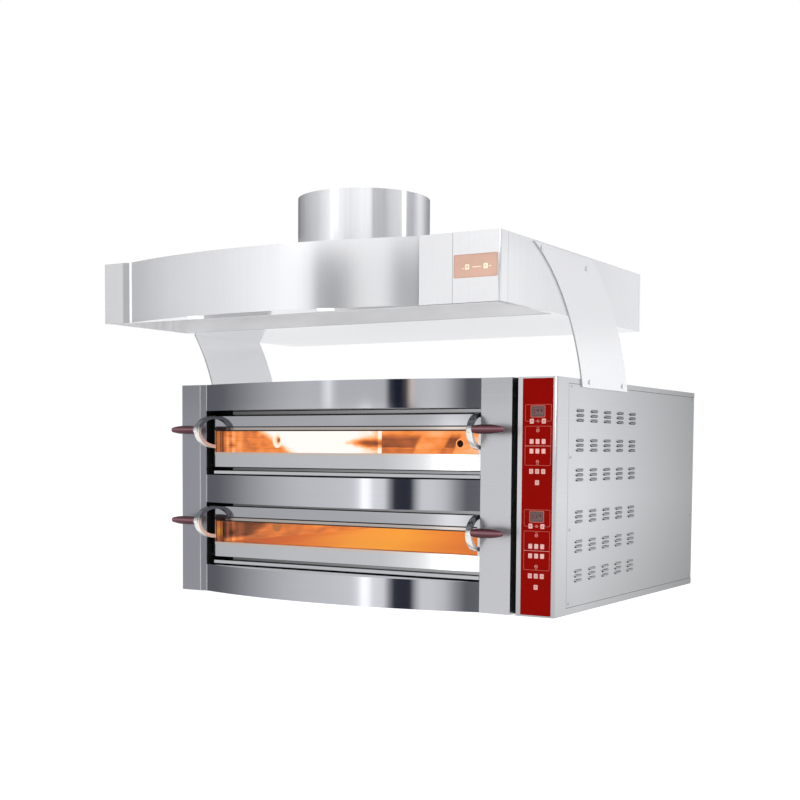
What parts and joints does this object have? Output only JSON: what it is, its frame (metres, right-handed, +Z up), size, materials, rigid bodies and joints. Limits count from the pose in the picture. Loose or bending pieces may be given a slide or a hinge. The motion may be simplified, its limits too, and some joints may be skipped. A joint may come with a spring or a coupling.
{
  "type": "countertop pizza oven",
  "caption": "Stacked electric deck pizza oven with bowed steel front, glazed drop-down doors, side control column and an extraction hood on curved blades.",
  "frame": {"origin": "centre of the oven's base, on the surface that it rests on", "axes": "+X to the oven's right as seen from the front, +Y to the back, +Z up"},
  "size_m": [1.517, 1.81, 1.388],
  "materials": {
    "brushed_casing": "long-grain brushed stainless sheet, satin",
    "bright_front": "bright-polished stainless bow and door, soft mirror with fine vertical grain",
    "side_casing": "fine satin stainless side sheet",
    "galvanised": "plain zinc-coated inner sheet",
    "black_lining": "matt black heat-resistant paint",
    "red_overlay": "deep red printed polyester foil, semi-gloss",
    "display_window": "smoked display window",
    "key_white": "off-white key cap",
    "chamber_steel": "aluminised chamber steel, heat-tinted",
    "refractory": "cordierite refractory slab, dry and porous",
    "element_metal": "sheathed heating tube, oxidised",
    "lamp_glass": "clear lamp glass",
    "mineral_wool": "mineral wool slab",
    "door_glass": "double oven glazing",
    "polished_steel": "polished steel strap and ferrule",
    "maroon_grip": "maroon moulded grip, satin gloss",
    "black_plastic": "moulded black plastic",
    "circuit_board": "lacquered circuit board and power gear",
    "zinc_screw": "bright zinc screw head",
    "hood_satin": "pale satin stainless hood sheet",
    "filter_steel": "stainless baffle filter",
    "spot_lens": "frosted spotlight lens",
    "motor_paint": "grey motor paint"
  },
  "bodies": {
    "cabinet": {"back_panel": "side_casing", "baking_stones": "refractory", "base_tray": "side_casing", "cable_gland": "black_plastic", "case_screws": "zinc_screw", "chamber_lamps": "lamp_glass", "control_boards": "circuit_board", "control_column": "side_casing", "control_overlay": "red_overlay", "cooling_fan_frame": "black_plastic", "display_windows": "display_window", "door_hinge_pins": "polished_steel", "door_recess_linings": "black_lining", "door_sills": "bright_front", "flue_collar": "hood_satin", "front_panel_bottom": "bright_front", "front_panel_middle": "bright_front", "front_panel_top": "bright_front", "heating_elements": "element_metal", "hood_blades": "hood_satin", "hood_control_panel": "hood_satin", "hood_fan_motor": "motor_paint", "hood_filters": "filter_steel", "hood_front_panel": "hood_satin", "hood_plenum": "hood_satin", "hood_shell": "hood_satin", "hood_spotlights": "spot_lens", "insulation": "mineral_wool", "left_front_column": "brushed_casing", "left_side_panel": "side_casing", "lower_chamber_liner": "chamber_steel", "right_front_column": "brushed_casing", "right_side_panel": "side_casing", "steam_outlets": "galvanised", "top_cover": "side_casing", "upper_chamber_liner": "chamber_steel"},
    "lower_door": {"lower_door_frame": "bright_front", "lower_door_glass": "door_glass", "lower_handle_bows": "polished_steel", "lower_handle_grips": "maroon_grip"},
    "upper_door": {"upper_door_frame": "bright_front", "upper_door_glass": "door_glass", "upper_handle_bows": "polished_steel", "upper_handle_grips": "maroon_grip"},
    "cooling_fan": {"cooling_fan_rotor": "black_plastic"},
    "hood_fan": {"hood_fan_impeller": "galvanised"},
    "key_hood_fan": {"key_hood_fan": "key_white"},
    "key_hood_light": {"key_hood_light": "key_white"},
    "key_lower_down": {"key_lower_down": "key_white"},
    "key_lower_light": {"key_lower_light": "key_white"},
    "key_lower_power": {"key_lower_power": "key_white"},
    "key_lower_program": {"key_lower_program": "key_white"},
    "key_lower_timer": {"key_lower_timer": "key_white"},
    "key_lower_up": {"key_lower_up": "key_white"},
    "key_upper_down": {"key_upper_down": "key_white"},
    "key_upper_light": {"key_upper_light": "key_white"},
    "key_upper_power": {"key_upper_power": "key_white"},
    "key_upper_program": {"key_upper_program": "key_white"},
    "key_upper_timer": {"key_upper_timer": "key_white"},
    "key_upper_up": {"key_upper_up": "key_white"}
  },
  "joints": [
    {"name": "lower_door_hinge", "type": "hinge", "parent": "cabinet", "child": "lower_door", "pos_m": [-0.078, -0.612, 0.133], "axis": [1, 0, 0], "range_deg": [0, 90]},
    {"name": "upper_door_hinge", "type": "hinge", "parent": "cabinet", "child": "upper_door", "pos_m": [-0.078, -0.612, 0.46], "axis": [1, 0, 0], "range_deg": [0, 90]},
    {"name": "cooling_fan_spin", "type": "hinge", "parent": "cabinet", "child": "cooling_fan", "pos_m": [0.645, 0.63, 0.38], "axis": [0, 1, 0], "continuous": true},
    {"name": "hood_fan_spin", "type": "hinge", "parent": "cabinet", "child": "hood_fan", "pos_m": [-0.078, -0.466, 1.06], "axis": [0, 0, 1], "continuous": true},
    {"name": "key_hood_fan_press", "type": "slide", "parent": "cabinet", "child": "key_hood_fan", "axis": [0, 1, 0], "range_m": [0, 0.0008], "stiffness_N_per_m": 1200, "springref_m": -0.0004},
    {"name": "key_hood_light_press", "type": "slide", "parent": "cabinet", "child": "key_hood_light", "axis": [0, 1, 0], "range_m": [0, 0.0008], "stiffness_N_per_m": 1200, "springref_m": -0.0004},
    {"name": "key_lower_down_press", "type": "slide", "parent": "cabinet", "child": "key_lower_down", "axis": [0, 1, 0], "range_m": [0, 0.0008], "stiffness_N_per_m": 1200, "springref_m": -0.0004},
    {"name": "key_lower_light_press", "type": "slide", "parent": "cabinet", "child": "key_lower_light", "axis": [0, 1, 0], "range_m": [0, 0.0008], "stiffness_N_per_m": 1200, "springref_m": -0.0004},
    {"name": "key_lower_power_press", "type": "slide", "parent": "cabinet", "child": "key_lower_power", "axis": [0, 1, 0], "range_m": [0, 0.0008], "stiffness_N_per_m": 1200, "springref_m": -0.0004},
    {"name": "key_lower_program_press", "type": "slide", "parent": "cabinet", "child": "key_lower_program", "axis": [0, 1, 0], "range_m": [0, 0.0008], "stiffness_N_per_m": 1200, "springref_m": -0.0004},
    {"name": "key_lower_timer_press", "type": "slide", "parent": "cabinet", "child": "key_lower_timer", "axis": [0, 1, 0], "range_m": [0, 0.0008], "stiffness_N_per_m": 1200, "springref_m": -0.0004},
    {"name": "key_lower_up_press", "type": "slide", "parent": "cabinet", "child": "key_lower_up", "axis": [0, 1, 0], "range_m": [0, 0.0008], "stiffness_N_per_m": 1200, "springref_m": -0.0004},
    {"name": "key_upper_down_press", "type": "slide", "parent": "cabinet", "child": "key_upper_down", "axis": [0, 1, 0], "range_m": [0, 0.0008], "stiffness_N_per_m": 1200, "springref_m": -0.0004},
    {"name": "key_upper_light_press", "type": "slide", "parent": "cabinet", "child": "key_upper_light", "axis": [0, 1, 0], "range_m": [0, 0.0008], "stiffness_N_per_m": 1200, "springref_m": -0.0004},
    {"name": "key_upper_power_press", "type": "slide", "parent": "cabinet", "child": "key_upper_power", "axis": [0, 1, 0], "range_m": [0, 0.0008], "stiffness_N_per_m": 1200, "springref_m": -0.0004},
    {"name": "key_upper_program_press", "type": "slide", "parent": "cabinet", "child": "key_upper_program", "axis": [0, 1, 0], "range_m": [0, 0.0008], "stiffness_N_per_m": 1200, "springref_m": -0.0004},
    {"name": "key_upper_timer_press", "type": "slide", "parent": "cabinet", "child": "key_upper_timer", "axis": [0, 1, 0], "range_m": [0, 0.0008], "stiffness_N_per_m": 1200, "springref_m": -0.0004},
    {"name": "key_upper_up_press", "type": "slide", "parent": "cabinet", "child": "key_upper_up", "axis": [0, 1, 0], "range_m": [0, 0.0008], "stiffness_N_per_m": 1200, "springref_m": -0.0004}
  ]
}
